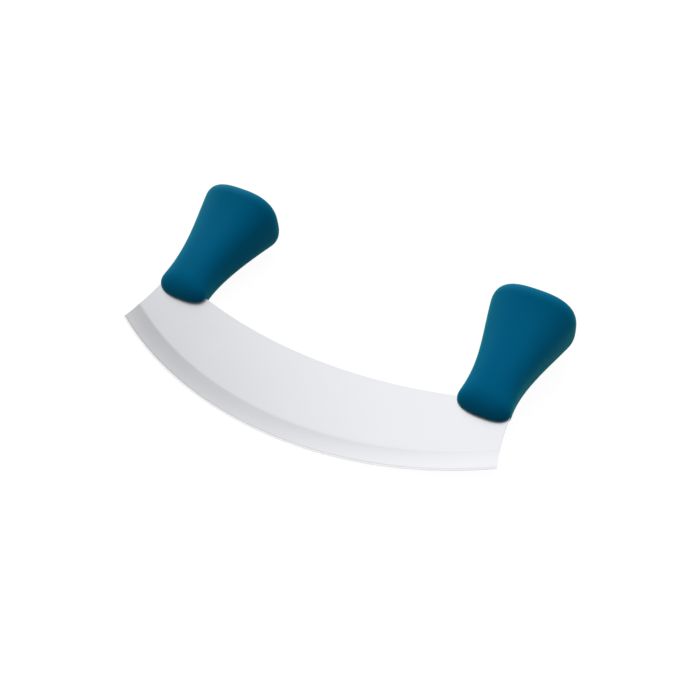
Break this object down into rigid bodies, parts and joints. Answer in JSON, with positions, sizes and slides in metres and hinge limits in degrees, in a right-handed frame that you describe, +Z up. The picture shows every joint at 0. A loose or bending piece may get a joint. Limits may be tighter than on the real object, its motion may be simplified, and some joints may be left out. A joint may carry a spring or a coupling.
{
  "type": "mezzaluna",
  "caption": "Mezzaluna: a wide crescent blade of thin steel with a ground edge and two flared upright plastic grips, lying at rest.",
  "frame": {"origin": "middle of the box's bottom face, on the worktop that the part lies on", "axes": "+X along the blade from its left tip to its right tip, +Y from the cutting edge towards the grips' butts, +Z up from the worktop"},
  "size_m": [0.2264, 0.1284, 0.0404],
  "materials": {
    "blade_steel": "satin ground stainless steel",
    "core_plastic": "as moulded",
    "grip_plastic": "satin moulded petrol blue"
  },
  "bodies": {
    "root": {"blade": "blade_steel", "core_left": "core_plastic", "core_right": "core_plastic", "grip_left": "grip_plastic", "grip_right": "grip_plastic"}
  },
  "joints": []
}
